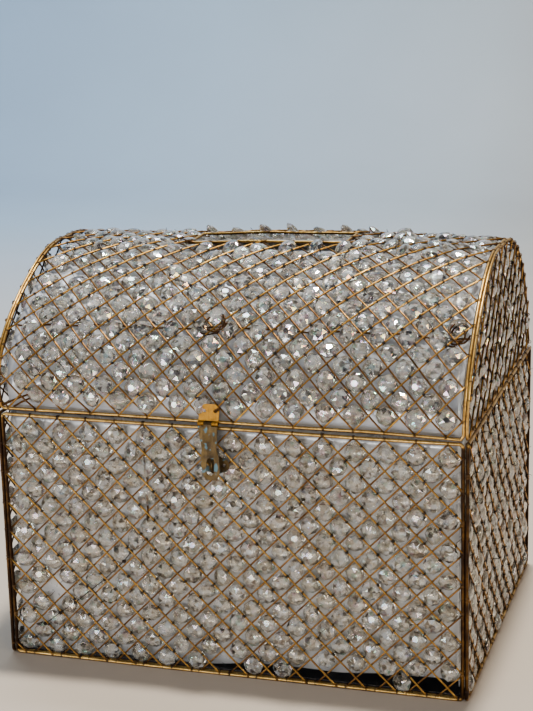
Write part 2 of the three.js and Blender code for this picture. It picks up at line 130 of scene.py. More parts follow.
class Pile:
    """Vertices and faces of one piece, collected in millimetres."""

    def __init__(self):
        self.verts = []
        self.faces = []
        self.tone = []

    def add(self, verts, faces, tone=0.5):
        start = len(self.verts)
        self.verts.extend(verts)
        self.faces.extend([tuple(start + i for i in face) for face in faces])
        self.tone.extend(tone if isinstance(tone, list) else [tone] * len(verts))

    def tube(self, points, radius, sides=6, closed=False, tone=0.5, outward=None):
        """A tube along points. Its tone is painted lighter on the side that outward gives and darker on the
        far side: painted highlight and painted shade.
        """
        points = [Vector(p) for p in points]
        count = len(points)
        tangents = []
        for i in range(count):
            before = points[i - 1] if (i or closed) else points[0]
            after = points[(i + 1) % count] if (i + 1 < count or closed) else points[-1]
            tangents.append((after - before).normalized())
        side = tangents[0].orthogonal().normalized()
        rings, tones = [], []
        for i, point in enumerate(points):
            if i:
                side = tangents[i - 1].rotation_difference(tangents[i]) @ side
            side = (side - tangents[i] * side.dot(tangents[i])).normalized()
            up = tangents[i].cross(side)
            r = radius(i) if callable(radius) else radius
            turns = [k * math.tau / sides for k in range(sides)]
            spokes = [side * math.cos(a) + up * math.sin(a) for a in turns]
            rings.append([point + spoke * r for spoke in spokes])
            here = tone(i) if callable(tone) else tone
            if outward:
                away = outward(i)
                tones += [here + 0.6 * (max(-0.4, spoke.dot(away)) - 0.5) for spoke in spokes]
            else:
                tones += [here] * sides
        verts = [v for ring in rings for v in ring]
        faces = []
        spans = count if closed else count - 1
        # A closed tube's last ring meets the first with the turn that its frame has picked up.
        shift = 0
        if closed:
            gaps = [(rings[-1][0] - rings[0][k]).length for k in range(sides)]
            shift = gaps.index(min(gaps))
        for i in range(spans):
            last = closed and i == count - 1
            for k in range(sides):
                k2 = (k + 1) % sides
                a, b = i * sides + k, i * sides + k2
                if last:
                    faces.append((a, b, (k2 + shift) % sides, (k + shift) % sides))
                else:
                    faces.append((a, b, b + sides, a + sides))
        if not closed:
            faces.append(tuple(reversed(range(sides))))
            faces.append(tuple((count - 1) * sides + k for k in range(sides)))
        self.add(verts, faces, tones)

    def piece(self, name, body, slot, material, replaces=(), smooth=True):
        mesh = bpy.data.meshes.new(name)
        mesh.from_pydata([v * MM for v in self.verts], [], self.faces)
        mesh.materials.append(material)
        tones = mesh.attributes.new("tone", "FLOAT", "POINT")
        tones.data.foreach_set("value", self.tone)
        if smooth:
            mesh.shade_smooth()
        else:
            # A random value for each face, which the crystal material turns into painted facet reflections.
            facets = mesh.attributes.new("facet", "FLOAT", "FACE")
            pick = random.Random(len(self.faces))
            facets.data.foreach_set("value", [pick.random() for _ in self.faces])
        mesh.validate()
        obj = bpy.data.objects.new(name, mesh)
        bpy.context.scene.collection.objects.link(obj)
        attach(obj, body)
        if replaces:
            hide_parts(*replaces)
        return obj


def arch_outline():
    """The lid's arch as a fine polyline from the front rail to the back one."""
    front = [(-HALF_DEPTH, LID_RAIL), (-HALF_DEPTH, LID_RAIL + STRAIGHT_SIDE / 2)]
    across, rise, power, steps = HALF_DEPTH - CROWN_HALF, CROWN - SPRINGING, 2 / HAUNCH_POWER, 60
    for a in [k * math.pi / 2 / steps for k in range(steps + 1)]:
        front.append((-CROWN_HALF - across * math.cos(a) ** power, SPRINGING + rise * math.sin(a) ** power))
    front += [(-CROWN_HALF + CROWN_HALF * k / 4, CROWN) for k in range(1, 4)]
    return [Vector(p) for p in front + [(0, CROWN)] + [(-y, z) for y, z in reversed(front)]]


ARCH = arch_outline()
ARCH_AT = [0.0]
for one, two in zip(ARCH, ARCH[1:]):
    ARCH_AT.append(ARCH_AT[-1] + (two - one).length)
ARCH_LENGTH = ARCH_AT[-1]


def arch_frame(along):
    """The arch's point and outward normal, a given distance along it."""
    beyond = along - min(max(along, 0.0), ARCH_LENGTH)
    along -= beyond
    low, high = 0, len(ARCH_AT) - 1
    while high - low > 1:
        middle = (low + high) // 2
        if ARCH_AT[middle] <= along:
            low = middle
        else:
            high = middle
    share = (along - ARCH_AT[low]) / (ARCH_AT[high] - ARCH_AT[low])
    point = ARCH[low].lerp(ARCH[high], share)
    ahead = ARCH[min(low + 2, len(ARCH) - 1)] - ARCH[max(low - 1, 0)]
    ahead.normalize()
    return point + ahead * beyond, Vector((-ahead.y, ahead.x))


def arch_height(depth, inset=0.0):
    """The arch's height above the lid rail's plane at a place along its span."""
    reach = HALF_DEPTH - inset
    if abs(depth) >= reach:
        return -1.0
    crown = CROWN - inset
    if abs(depth) <= CROWN_HALF:
        return crown
    across = reach - CROWN_HALF
    share = (abs(depth) - CROWN_HALF) / across
    return SPRINGING + (crown - SPRINGING) * max(0.0, 1 - share ** HAUNCH_POWER) ** (1 / HAUNCH_POWER)


def flat_place(quarter, distance):
    """Maps a panel's own place (across, up, outwards) to the row frame."""
    turn = Matrix.Rotation(quarter * math.pi / 2, 3, "Z")

    def place(u, v, d=0.0):
        return turn @ Vector((u, -(distance + d), v))

    return place


def smooth(value, low, high):
    t = max(0.0, min(1.0, (value - low) / (high - low)))
    return t * t * (3 - 2 * t)


# How far the hand-bent crown stands above or below its level, at places along the lid.
CROWN_LIFTS = [(-182, -3.6), (-120, -2.8), (-65, -1.2), (0, 1.8), (62, 3.0), (120, 2.2), (182, 1.4)]


def crown_lift(x):
    for (x0, lift0), (x1, lift1) in zip(CROWN_LIFTS, CROWN_LIFTS[1:]):
        if x <= x1:
            break
    return lift0 + (lift1 - lift0) * smooth(x, x0, x1)


# How far the lid's front bulges at its left end and sinks at its right, and how far its back leans in there.
BULGE, SLACK, LEAN = 7.5, 4.5, 7.0


def lid_warp(p):
    """Bends a place on the regular lid to the hand-made one: its crown is uneven, its front bulges at the
    left end and is leaner at the right end, and there its back leans in."""
    height = max(0.0, min(1.0, (p.z - LID_RAIL) / (CROWN - LID_RAIL)))
    left, right, front = smooth(-p.x, 0, 175), smooth(p.x, 0, 175), smooth(-p.y, 15, 60)
    bulge = BULGE * left * front * math.sin(math.pi * min(1.0, height / 0.85))
    slack = SLACK * right * front * math.sin(math.pi * max(0.0, height - 0.35) / 0.65)
    lean = LEAN * right * smooth(p.y, 40, 130) * math.sin(math.pi * height ** 0.6)
    return Vector((p.x, p.y - bulge + slack - lean, p.z + crown_lift(p.x) * smooth(height, 0.0, 1.0)))


def dome_place(u, s, d=0.0):
    point, normal = arch_frame(s)
    spot = point + normal * d
    return lid_warp(Vector((u, spot.x, spot.y)))


def sway(seed, t, size, wave):
    """A smooth wobble along a wire."""
    return size * (math.sin(t / wave + seed * 1.7) + 0.6 * math.sin(t / (wave * 0.43) + seed * 2.9))


def fillet(corner, before, after, radius, steps=5):
    """Points round a corner between two straight or nearly straight runs."""
    a = corner + (before - corner).normalized() * radius
    b = corner + (after - corner).normalized() * radius
    points = []
    for k in range(steps + 1):
        t = k / steps
        points.append(a * (1 - t) ** 2 + corner * (2 * t * (1 - t)) + b * t ** 2)
    return points


def run(start, end, step=9.0):
    """Points from just after start to just before end."""
    count = max(2, int((end - start).length / step))
    return [start.lerp(end, k / count) for k in range(1, count)]


def rounded_loop(corners, radius):
    points = []
    count = len(corners)
    for i, corner in enumerate(corners):
        after = corners[(i + 1) % count]
        inset = (after - corner).normalized() * radius
        points += fillet(corner, corners[i - 1], after, radius)
        points += run(corner + inset, after - inset)
    return points


def inside_spans(inside, low, high, step=0.8):
    """The stretches of a line on which inside() holds."""
    spans, start, t = [], None, low
    while t <= high:
        if inside(t) and start is None:
            start = t
        if not inside(t) and start is not None:
            spans.append((start, t - step))
            start = None
        t += step
    if start is not None:
        spans.append((start, high))
    return [s for s in spans if s[1] - s[0] > 2.5]


class Panel:
    """One beaded panel: its own plane, the region that its mesh fills, and how it is strung."""

    def __init__(self, name, body, place, region, cell, origin, size, string_slope, seed):
        self.name = name
        self.body = body
        self.place = place
        self.region = region
        self.cell = cell
        self.origin = origin
        self.low_u, self.high_u, self.low_v, self.high_v = size
        self.string_slope = string_slope
        self.random = random.Random(seed)

    def wire_lines(self, direction):
        """The wires that run one way: number, place across at a height, and stretches inside the panel."""
        width, height, crossing = self.cell
        slope = direction * width / height
        tall = self.high_v - self.low_v
        reach = int((self.high_u - self.low_u + tall) / width) + 2
        for k in range(-reach, reach + 1):
            start = crossing + k * width

            def u_at(v, start=start):
                return start + slope * (v - self.origin)

            yield k, u_at, inside_spans(lambda v: self.region(u_at(v), v, 0.0), self.low_v, self.high_v)

    def mesh_wires(self, pile, direction, depth, tone):
        for k, u_at, spans in self.wire_lines(direction):
            for low, high in spans:
                seed = k * 3.1 + direction
                count = max(3, int((high - low) / MESH_STEP))
                points, away = [], []
                for i in range(count + 1):
                    v = low + (high - low) * i / count
                    side = sway(seed, v, *MESH_SWAY)
                    out = depth + sway(seed + 5, v, *MESH_LIFT)
                    points.append(self.place(u_at(v) + side, v, out))
                    away.append((self.place(u_at(v), v, 2.0) - self.place(u_at(v), v)).normalized())
                # Each wire's tone is painted lighter on its side that faces out of the panel and darker
                # behind: painted highlight and painted shade.
                pile.tube(points, MESH_RADIUS, 6, tone=tone + self.random.uniform(-0.12, 0.12),
                          outward=away.__getitem__)

    def wire_ends(self):
        """Where the mesh wires meet the rods round the panel."""
        for direction in (1, -1):
            for _, u_at, spans in self.wire_lines(direction):
                for span in spans:
                    for v in span:
                        yield u_at(v), v

    def cell_centres(self):
        width, height, crossing = self.cell
        columns = int((self.high_u - self.low_u) / width) + 3
        rows = int((self.high_v - self.low_v) / height) * 2 + 6
        for i in range(-2 * columns, 2 * columns + 1):
            for j in range(-rows, rows + 1):
                if (i + j) % 2:
                    yield crossing + i * width / 2, self.origin + j * height / 2

    def basis(self, u, v, along):
        """The string's direction, the direction across it and the outward normal at a place."""
        width, height, _ = self.cell
        base = self.place(u, v)
        du = (self.place(u + 0.5, v) - self.place(u - 0.5, v)).normalized()
        dv = (self.place(u, v + 0.5) - self.place(u, v - 0.5)).normalized()
        string = (du * (along * width) + dv * height).normalized()
        normal = du.cross(dv).normalized()
        return base, string, normal.cross(string).normalized(), normal


# -------- beads

# Rings of a bead's corners: share of the radius, turn in eighths, height. The front has broad facets
# and the back is cut finer, so that each bead breaks up what is behind it.
BEAD_FRONT = [(0.30, 0.5, 3.7), (0.76, 0.0, 2.35), (1.0, 0.5, 0.5)]
BEAD_BACK = [(0.20, 0.5, 3.3), (0.46, 0.0, 2.9), (0.74, 0.5, 1.9), (1.0, 0.5, 0.5)]


def bead_template():
    """A round cut bead: a table, rings of triangular facets and a narrow girdle."""
    verts, faces = [], []
    girdles = []
    for side, rings in ((1, BEAD_FRONT), (-1, BEAD_BACK)):
        starts = []
        for share, turn, height in rings:
            starts.append(len(verts))
            for k in range(8):
                a, r = (k + turn) * math.tau / 8, share * BEAD_RADIUS
                verts.append(Vector((r * math.cos(a), r * math.sin(a), side * height)))
        found = [tuple(starts[0] + k for k in range(8))]
        for (inner, inner_ring), (outer, outer_ring) in zip(zip(starts, rings), zip(starts[1:], rings[1:])):
            for k in range(8):
                a, b, c, d = inner + k, inner + (k + 1) % 8, outer + k, outer + (k + 1) % 8
                # A ring that is turned by half a step takes its corners from between its neighbour's.
                if outer_ring[1] == inner_ring[1]:
                    found.append((a, c, d, b))
                elif outer_ring[1] > inner_ring[1]:
                    found += [(b, a, c), (c, d, b)]
                else:
                    found += [(a, c, d), (a, d, b)]
        if side < 0:
            found = [tuple(reversed(f)) for f in found]
        faces += found
        girdles.append(starts[-1])
    front, back = girdles
    for k in range(8):
        n = (k + 1) % 8
        faces.append((front + k, back + k, back + n, front + n))
    return verts, faces


BEAD_VERTS, BEAD_FACES = bead_template()


def coil(pile, centre, axis, radius, wire, turns, pitch, start=0.0, tone=0.3):
    """A few turns of fine wire wound round a thicker one."""
    axis = axis.normalized()
    side = axis.orthogonal().normalized()
    up = axis.cross(side)
    steps = max(3, int(turns * 7))
    points = []
    for k in range(steps + 1):
        a = start + turns * math.tau * k / steps
        lift = axis * (pitch * turns * (k / steps - 0.5))
        points.append(centre + side * (radius * math.cos(a)) + up * (radius * math.sin(a)) + lift)
    pile.tube(points, wire, 4, tone=tone)


def knot_wires(panel, ties, u, v, knot, string, cross, normal):
    """The coil that ties a string to a mesh wire, with here and there a tail or a stray run of string."""
    pick = panel.random
    wire_axis = cross_wire(panel, u, v)
    coil(ties, knot, wire_axis, MESH_RADIUS + STRING_RADIUS, KNOT_WIRE, pick.uniform(1.6, 3.4), KNOT_PITCH,
         pick.uniform(0, math.tau), tone=pick.uniform(0.0, 0.25))
    if pick.random() < TAIL_SHARE:
        tip = knot + (normal * pick.uniform(0.1, 1) + cross * pick.uniform(-1, 1)
                      + string * pick.uniform(-1, 1)).normalized() * pick.uniform(1.8, 4.8)
        ties.tube([knot, knot.lerp(tip, 0.5) + normal * 0.4, tip], TAIL_RADIUS, 4, tone=0.1)
    if pick.random() < STRAY_SHARE:
        # Here and there the string runs on beside a mesh wire.
        way = pick.choice((string, wire_axis)) * pick.choice((-1, 1))
        beside = way.cross(normal) * pick.choice((-1.6, 1.6))
        far = knot + way * pick.uniform(7, 15)
        ties.tube([knot, knot.lerp(far, 0.3) + beside, far + beside * 0.8], STRAY_RADIUS, 4, tone=0.3)


def string_beads(panel, beads, ties):
    """Hangs a bead in each cell, and ties it to the two mesh wires beside it."""
    pick = panel.random
    width, height, _ = panel.cell
    for u, v in panel.cell_centres():
        if not panel.region(u, v, BEAD_INSET) or not holds_bead(panel, u, v):
            continue
        base, string, cross, normal = panel.basis(u, v, panel.string_slope)
        roll, nod, lift = bead_tilt(panel, u, v)
        drift = string * pick.uniform(-BEAD_DRIFT, BEAD_DRIFT) + cross * pick.uniform(-BEAD_DRIFT, BEAD_DRIFT)
        centre = base + normal * (BEAD_DEPTH + lift) + drift
        turn = Quaternion(string, roll) @ Quaternion(cross, nod)
        spin = math.tau / 16 + pick.uniform(-0.15, 0.15)
        x_axis = turn @ (string * math.cos(spin) + cross * math.sin(spin))
        z_axis = turn @ normal
        if panel.name == "dome" and GLINT_ZONE[0] < v < GLINT_ZONE[1] and pick.random() < GLINT_SHARE:
            x_axis, z_axis = catch_lamp(centre, x_axis, z_axis)
        y_axis = z_axis.cross(x_axis)
        size = pick.uniform(*BEAD_SIZES)
        verts = [centre + (x_axis * p.x + y_axis * p.y + z_axis * p.z) * size for p in BEAD_VERTS]
        # A bead that leans far is pushed outwards by the lining behind it.
        push = normal * max(0.0, BEAD_BACK_LIMIT - min((p - base).dot(normal) for p in verts))
        centre += push
        verts = [p + push for p in verts]
        beads.add(verts, BEAD_FACES, pick.random())
        hole_axis = turn @ string
        for side in (-1, 1):
            du = side * panel.string_slope * width / 4
            dv = side * height / 4
            knot = panel.place(u + du, v + dv, OUTER_DEPTH)
            if not panel.region(u + du, v + dv, 0.5):
                continue
            hole = centre + hole_axis * (side * (BEAD_RADIUS - HOLE_INSET))
            bend = hole.lerp(knot, 0.55) + normal * pick.uniform(-0.8, 0.5) + cross * pick.uniform(-0.7, 0.7)
            ties.tube([hole, bend, knot], STRING_RADIUS, 4, tone=0.2)
            if side > 0:
                knot_wires(panel, ties, u, v, knot, string, cross, normal)


# Outward normals of the broad facets round the front's table.
BEAD_NORMALS = []
for face in BEAD_FACES[1:17]:
    a, b, c = (BEAD_VERTS[i] for i in face[:3])
    BEAD_NORMALS.append((b - a).cross(c - a).normalized())


def catch_lamp(centre, x_axis, z_axis):
    """Turns a bead a little, so that one of its front facets sends the lamp's light to the eye."""
    wanted = ((LAMP - centre).normalized() + (EYE - centre).normalized()).normalized()
    y_axis = z_axis.cross(x_axis)
    facets = [x_axis * n.x + y_axis * n.y + z_axis * n.z for n in BEAD_NORMALS]
    nearest = max(facets, key=wanted.dot)
    turn = nearest.rotation_difference(wanted)
    return turn @ x_axis, turn @ z_axis


def edge_axis(panel, u, v):
    """The direction of the rod at a panel's edge."""
    def along(du, dv):
        return (panel.place(u + du, v + dv) - panel.place(u - du, v - dv)).normalized()

    if min(v - panel.low_v, panel.high_v - v) < 3 and panel.name not in ("lid_left", "lid_right"):
        return along(1, 0)
    if panel.name == "dome":
        off_rim = abs(abs(v - ARCH_LENGTH / 2) - SLOT_HALF_WIDE)
        beside_slot = off_rim < 2 and abs(u - SLOT_X) < SLOT_HALF_LONG + 2
        return along(1, 0) if beside_slot else along(0, 1)
    if panel.body == "base":
        return along(0, 1)
    if v - panel.low_v < 3:
        return along(1, 0)
    slope = arch_height(u + 1) - arch_height(u - 1)
    return along(1, max(-6.0, min(6.0, slope / 2)))


def wrap_edges(panel, ties):
    """Winds fine wire round the rods wherever a mesh wire ends."""
    pick = panel.random
    for u, v in panel.wire_ends():
        axis = edge_axis(panel, u, v)
        radius = (RAIL_ROD if panel.body == "base" else ARCH_ROD) + WRAP_GAP
        centre = panel.place(u, v) + axis * pick.uniform(-0.6, 0.6)
        # Round the foot the wire is pressed flat by the box's weight.
        centre.z = max(centre.z, radius + 0.34)
        coil(ties, centre, axis, radius, WRAP_WIRE, pick.uniform(1.0, 2.3), WRAP_PITCH,
             pick.uniform(0, math.tau), tone=pick.uniform(0.25, 0.8))


def cross_wire(panel, u, v):
    """The direction of the mesh wires that the strings are tied to."""
    return panel.basis(u, v, -panel.string_slope)[1]


# -------- materials

class Nodes:
    """A material's node tree, with short calls for the nodes used here."""

    def __init__(self, name):
        self.material = bpy.data.materials.new(name)
        self.material.use_nodes = True
        self.tree = self.material.node_tree
        self.shader = self.tree.nodes["Principled BSDF"]
        self.coords = self.tree.nodes.new("ShaderNodeTexCoord").outputs["Object"]

    def link(self, source, target):
        self.tree.links.new(source, target)

    def give(self, socket, value):
        """Links an input to another node's output, or sets its value."""
        if isinstance(value, bpy.types.NodeSocket):
            self.link(value, socket)
        else:
            socket.default_value = (*value, 1.0) if socket.type == "RGBA" else value

    def new(self, kind, inputs=(), **values):
        """A node of a kind, with its settings and what its inputs are given, as pairs."""
        node = self.tree.nodes.new(kind)
        for key, value in values.items():
            setattr(node, key, value)
        for key, value in inputs:
            self.give(node.inputs[key], value)
        return node

    def noise(self, scale, detail=3.0, rough=0.55, vector=None, distortion=0.0):
        inputs = [("Scale", scale), ("Detail", detail), ("Roughness", rough), ("Distortion", distortion),
                  ("Vector", vector or self.coords)]
        return self.new("ShaderNodeTexNoise", inputs).outputs["Fac"]

    def stretch(self, scale):
        return self.new("ShaderNodeMapping", [("Scale", scale), ("Vector", self.coords)]).outputs["Vector"]

    def ramp(self, source, stops):
        node = self.new("ShaderNodeValToRGB", [("Fac", source)])
        elements = node.color_ramp.elements
        while len(elements) < len(stops):
            elements.new(0.5)
        for element, (place, color) in zip(elements, stops):
            element.position = place
            element.color = (*color, 1.0)
        return node.outputs["Color"]

    def range(self, source, low, high, start=0.0, end=1.0):
        inputs = [("From Min", start), ("From Max", end), ("To Min", low), ("To Max", high),
                  ("Value", source)]
        return self.new("ShaderNodeMapRange", inputs).outputs["Result"]

    def mix(self, share, one, two, blend="MIX"):
        inputs = [(0, share), (6, one), (7, two)]
        return self.new("ShaderNodeMix", inputs, data_type="RGBA", blend_type=blend).outputs[2]

    def attribute(self, name):
        return self.new("ShaderNodeAttribute", attribute_name=name).outputs["Fac"]

    def bump(self, source, distance, strength=1.0):
        inputs = [("Distance", distance), ("Strength", strength), ("Height", source)]
        self.link(self.new("ShaderNodeBump", inputs).outputs["Normal"], self.shader.inputs["Normal"])

    def set(self, **values):
        for key, value in values.items():
            self.give(self.shader.inputs[key.replace("_", " ")], value)


def wire_metal(name, dark, middle, bright, rough=(0.26, 0.46), metallic=0.88):
    """Plated wire: gold where its tone is high, brown and nearly black where it is low. The tone holds a
    painted highlight and painted shade on each wire's lit and far sides, as well as tarnish that differs at
    random.
    """
    m = Nodes(name)
    patches = m.noise(70.0, 3.0, 0.5)
    fine = m.noise(700.0, 2.0, 0.5)
    inputs = [(0, m.attribute("tone")), (1, 0.75), (2, m.range(patches, -0.08, 0.38, 0.25, 0.75))]
    blended = m.new("ShaderNodeMath", inputs, operation="MULTIPLY_ADD")
    color = m.ramp(blended.outputs[0], [(0.10, dark), (0.48, middle), (0.92, bright)])
    flecks = m.ramp(fine, [(0.36, (0.62, 0.6, 0.58)), (0.52, (1, 1, 1))])
    m.set(Base_Color=m.mix(1.0, color, flecks, "MULTIPLY"), Metallic=metallic,
          Roughness=m.range(patches, rough[1], rough[0], 0.3, 0.7))
    m.bump(fine, 0.0001, 0.4)
    return m.material


def crystal(name, film, film_index, rough, body, coat):
    """Cut glass, a little milky, with a coating that shows colours at a slant. Each facet is given a random
    tone from dark to white, with a few rainbow tints: painted reflections, refractions and coating colours.
    """
    m = Nodes(name)
    patches = m.noise(140.0, 2.0, 0.5)
    facet = m.attribute("facet")
    shade = m.ramp(m.attribute("tone"), [(0.0, (0.92, 0.88, 0.78)), (0.5, (0.97, 0.93, 0.86)),
                                         (1.0, (1.0, 0.99, 0.94))])
    painted_facet_light = m.ramp(facet, [(0.0, (0.13, 0.11, 0.09)), (0.15, (0.42, 0.37, 0.30)), (0.17, (1.0, 0.66, 0.84)),
                         (0.20, (0.60, 1.0, 0.84)), (0.23, (0.62, 0.74, 1.0)), (0.26, (0.60, 0.54, 0.45)),
                         (0.5, (0.90, 0.86, 0.78)), (0.8, (1, 1, 1)), (1.0, (0.84, 0.91, 1.0))])
    m.set(Base_Color=m.mix(1.0, shade, painted_facet_light, "MULTIPLY"), Metallic=0.0, IOR=1.55,
          Transmission_Weight=m.range(facet, *body), Roughness=m.range(patches, *rough, 0.3, 0.75))
    m.set(Thin_Film_IOR=film_index, Thin_Film_Thickness=m.range(patches, *film, 0.3, 0.7))
    m.set(Coat_Weight=coat, Coat_Roughness=0.01, Coat_IOR=2.0)
    m.bump(m.noise(500.0, 1.0, 0.5), 0.0003, 0.25)
    return m.material


def lining(name, low, high, gloss):
    """Thin pale sheet, a little creased and unevenly shiny."""
    m = Nodes(name)
    cloud = m.noise(14.0, 4.0, 0.55)
    crease = m.noise(46.0, 3.0, 0.6, distortion=0.8)
    m.set(Base_Color=m.ramp(cloud, [(0.3, low), (0.7, high)]), Metallic=0.2, Transmission_Weight=0.25,
          Roughness=m.range(crease, gloss[0], gloss[1], 0.3, 0.7))
    m.bump(crease, 0.0012, 0.3)
    return m.material


def black_sheet():
    m = Nodes("bottom_black")
    cloud = m.noise(30.0, 4.0, 0.6)
    m.set(Base_Color=m.ramp(cloud, [(0.3, (0.004, 0.004, 0.006)), (0.8, (0.02, 0.019, 0.022))]),
          Roughness=m.range(cloud, 0.08, 0.3, 0.3, 0.7))
    m.bump(m.noise(120.0, 2.0), 0.0004, 0.2)
    return m.material


def sheet_brass(name, dark, middle, bright, patch=None):
    """Stamped sheet with brushed grain, patchy tone and, on the strap, blue-grey worn spots."""
    m = Nodes(name)
    cloud = m.noise(150.0, 4.0, 0.6)
    grain = m.noise(600.0, 3.0, 0.6, vector=m.stretch((1.0, 1.0, 0.12)))
    color = m.ramp(cloud, [(0.25, dark), (0.5, middle), (0.8, bright)])
    color = m.mix(1.0, color, m.ramp(grain, [(0.3, (0.7, 0.68, 0.66)), (0.6, (1, 1, 1))]), "MULTIPLY")
    if patch:
        spots = m.ramp(m.noise(210.0, 2.0, 0.4), [(0.60, (0, 0, 0)), (0.63, (1, 1, 1))])
        color = m.mix(spots, color, patch)
    m.set(Base_Color=color, Metallic=0.8, Roughness=m.range(grain, 0.3, 0.52, 0.3, 0.7))
    m.bump(grain, 0.0002, 0.4)
    return m.material


GOLD_ROD = wire_metal("gold_rod", (0.022, 0.009, 0.003), (0.25, 0.12, 0.024), (0.80, 0.50, 0.14))
# Lighter and darker copies of one plated wire: the outer mesh layer gets the lighter and the inner one the
# darker, as painted light and painted shade.
MESH_BRIGHT = wire_metal("mesh_bright", (0.035, 0.014, 0.004), (0.26, 0.12, 0.02), (0.60, 0.34, 0.06))
MESH_DARK = wire_metal("mesh_dark", (0.022, 0.009, 0.003), (0.13, 0.055, 0.012), (0.34, 0.17, 0.035))
TIE_WIRE = wire_metal("tie_wire", (0.006, 0.004, 0.003), (0.045, 0.02, 0.008), (0.26, 0.13, 0.03),
                      rough=(0.4, 0.6), metallic=0.6)
LID_CRYSTAL = crystal("lid_crystal", film=(240.0, 640.0), film_index=1.8, rough=(0.0, 0.03),
                      body=(0.97, 0.74), coat=0.6)
BASE_CRYSTAL = crystal("base_crystal", film=(120.0, 440.0), film_index=1.45, rough=(0.0, 0.04),
                       body=(0.98, 0.70), coat=0.28)
BASE_LINING = lining("base_lining", (0.56, 0.56, 0.56), (0.72, 0.72, 0.72), (0.18, 0.4))
# The lid's lining is a lighter, bluer copy of the base's: painted light, for the daylight that shows through
# it.
LIT_LID_LINING = lining("lid_lining", (0.66, 0.68, 0.72), (0.84, 0.86, 0.90), (0.12, 0.32))
BLACK = black_sheet()
HASP_BRASS = sheet_brass("hasp_brass", (0.16, 0.07, 0.007), (0.36, 0.165, 0.012), (0.52, 0.27, 0.03))
STRAP_BRONZE = sheet_brass("strap_bronze", (0.014, 0.008, 0.003), (0.055, 0.032, 0.008), (0.12, 0.072, 0.017),
                           (0.05, 0.085, 0.095))


# -------- panels

def rectangle_region(half, low, high):
    def region(u, v, inset):
        return abs(u) <= half - inset and low + inset <= v <= high - inset
    return region


def end_region(u, v, inset):
    return v >= LID_RAIL + inset and v <= arch_height(u, inset)


def dome_region(u, s, inset):
    if abs(u) > PANEL_HALF - inset or not inset <= s <= ARCH_LENGTH - inset:
        return False
    across = s - ARCH_LENGTH / 2
    margin = 0.8 * inset + 0.5
    return abs(u - SLOT_X) > SLOT_HALF_LONG + margin or abs(across) > SLOT_HALF_WIDE + margin


def base_panel(name, quarter, distance, half, cell, seed):
    size = (-half, half, LOWER, UPPER)
    region = rectangle_region(half, LOWER, UPPER)
    return Panel(name, "base", flat_place(quarter, distance), region, cell, UPPER, size, 1, seed)


def lid_end_panel(name, quarter, seed):
    size = (-HALF_DEPTH, HALF_DEPTH, LID_RAIL, CROWN)
    flat = flat_place(quarter, HALF_WIDTH)

    def place(u, v, d=0.0):
        return lid_warp(flat(u, v, d))

    return Panel(name, "lid", place, end_region, END_CELL, LID_RAIL, size, -1, seed)


PANELS = [
    base_panel("front", 0, HALF_DEPTH, PANEL_HALF, BASE_CELL, 11),
    base_panel("right", 1, HALF_WIDTH, HALF_DEPTH, END_CELL, 12),
    base_panel("back", 2, HALF_DEPTH, PANEL_HALF, BASE_CELL, 13),
    base_panel("left", 3, HALF_WIDTH, HALF_DEPTH, END_CELL, 14),
    lid_end_panel("lid_right", 1, 15),
    lid_end_panel("lid_left", 3, 16),
    Panel("dome", "lid", dome_place, dome_region, LID_CELL, 0.0,
          (-PANEL_HALF, PANEL_HALF, 0.0, ARCH_LENGTH), -1, 17),
]


def holds_bead(panel, u, v):
    """Whether a cell holds a bead: nearly all do, but only one of those at the foot of the front's right."""
    chance = panel.random.random()
    if panel.name == "front" and v < LOWER + FOOT_ROW:
        return chance < FOOT_BEADED_SHARE if u < FOOT_BEADS_END else abs(u - LONE_BEAD) < 8
    return chance < BEADED_SHARE


def bead_tilt(panel, u, v):
    """How far a bead rolls about its string, nods across it and stands out from the mesh."""
    pick = panel.random
    roll = pick.gauss(0, 0.3)
    nod = pick.gauss(0, 0.14)
    lift = pick.gauss(0, 0.45)
    if pick.random() < LEANING_SHARE:
        roll += pick.choice((-1, 1)) * pick.uniform(0.3, 0.6)
    # The string and the beads beside it keep a bead from turning further.
    roll = max(-MOST_ROLL, min(MOST_ROLL, roll))
    nod = max(-MOST_NOD, min(MOST_NOD, nod))
    if panel.name == "dome":
        across = v - ARCH_LENGTH / 2
        by_slot = abs(u - SLOT_X) < SLOT_HALF_LONG + 4
        if by_slot and 0 < across - SLOT_HALF_WIDE < 16:
            return pick.uniform(0.5, 1.0), nod, pick.uniform(2.0, 3.4)
        if by_slot and -16 < across + SLOT_HALF_WIDE < 0 and pick.random() < 0.6:
            return -pick.uniform(0.4, 1.0), nod, pick.uniform(1.6, 2.8)
        if abs(across) < 34:
            return roll * 1.4, nod * 1.3, pick.uniform(1.4, 3.0)
    return roll, nod, lift


for panel in PANELS:
    # The strings run along the inner wires, and are tied to the outer ones.
    # The outer layer's lighter wire and the inner layer's darker wire are painted light and painted shade.
    inner, outer = (INNER_DEPTH, MESH_DARK), (OUTER_DEPTH, MESH_BRIGHT)
    rises, falls = (inner, outer) if panel.string_slope > 0 else (outer, inner)
    rising, falling, beads, ties = Pile(), Pile(), Pile(), Pile()
    panel.mesh_wires(rising, 1, rises[0], 0.45)
    panel.mesh_wires(falling, -1, falls[0], 0.45)
    for pile, way, (_, material) in ((rising, "rising", rises), (falling, "falling", falls)):
        pile.piece(f"{panel.name}_{way}_wires", panel.body, "mesh_gold", material,
                   [f"{panel.name}_mesh_{way}"])
    string_beads(panel, beads, ties)
    wrap_edges(panel, ties)
    glass = BASE_CRYSTAL if panel.body == "base" else LID_CRYSTAL
    beads.piece(panel.name + "_beads", panel.body, "crystal", glass, [panel.name + "_crystals"], smooth=False)
    ties.piece(panel.name + "_ties", panel.body, "mesh_gold", TIE_WIRE)


# -------- frames

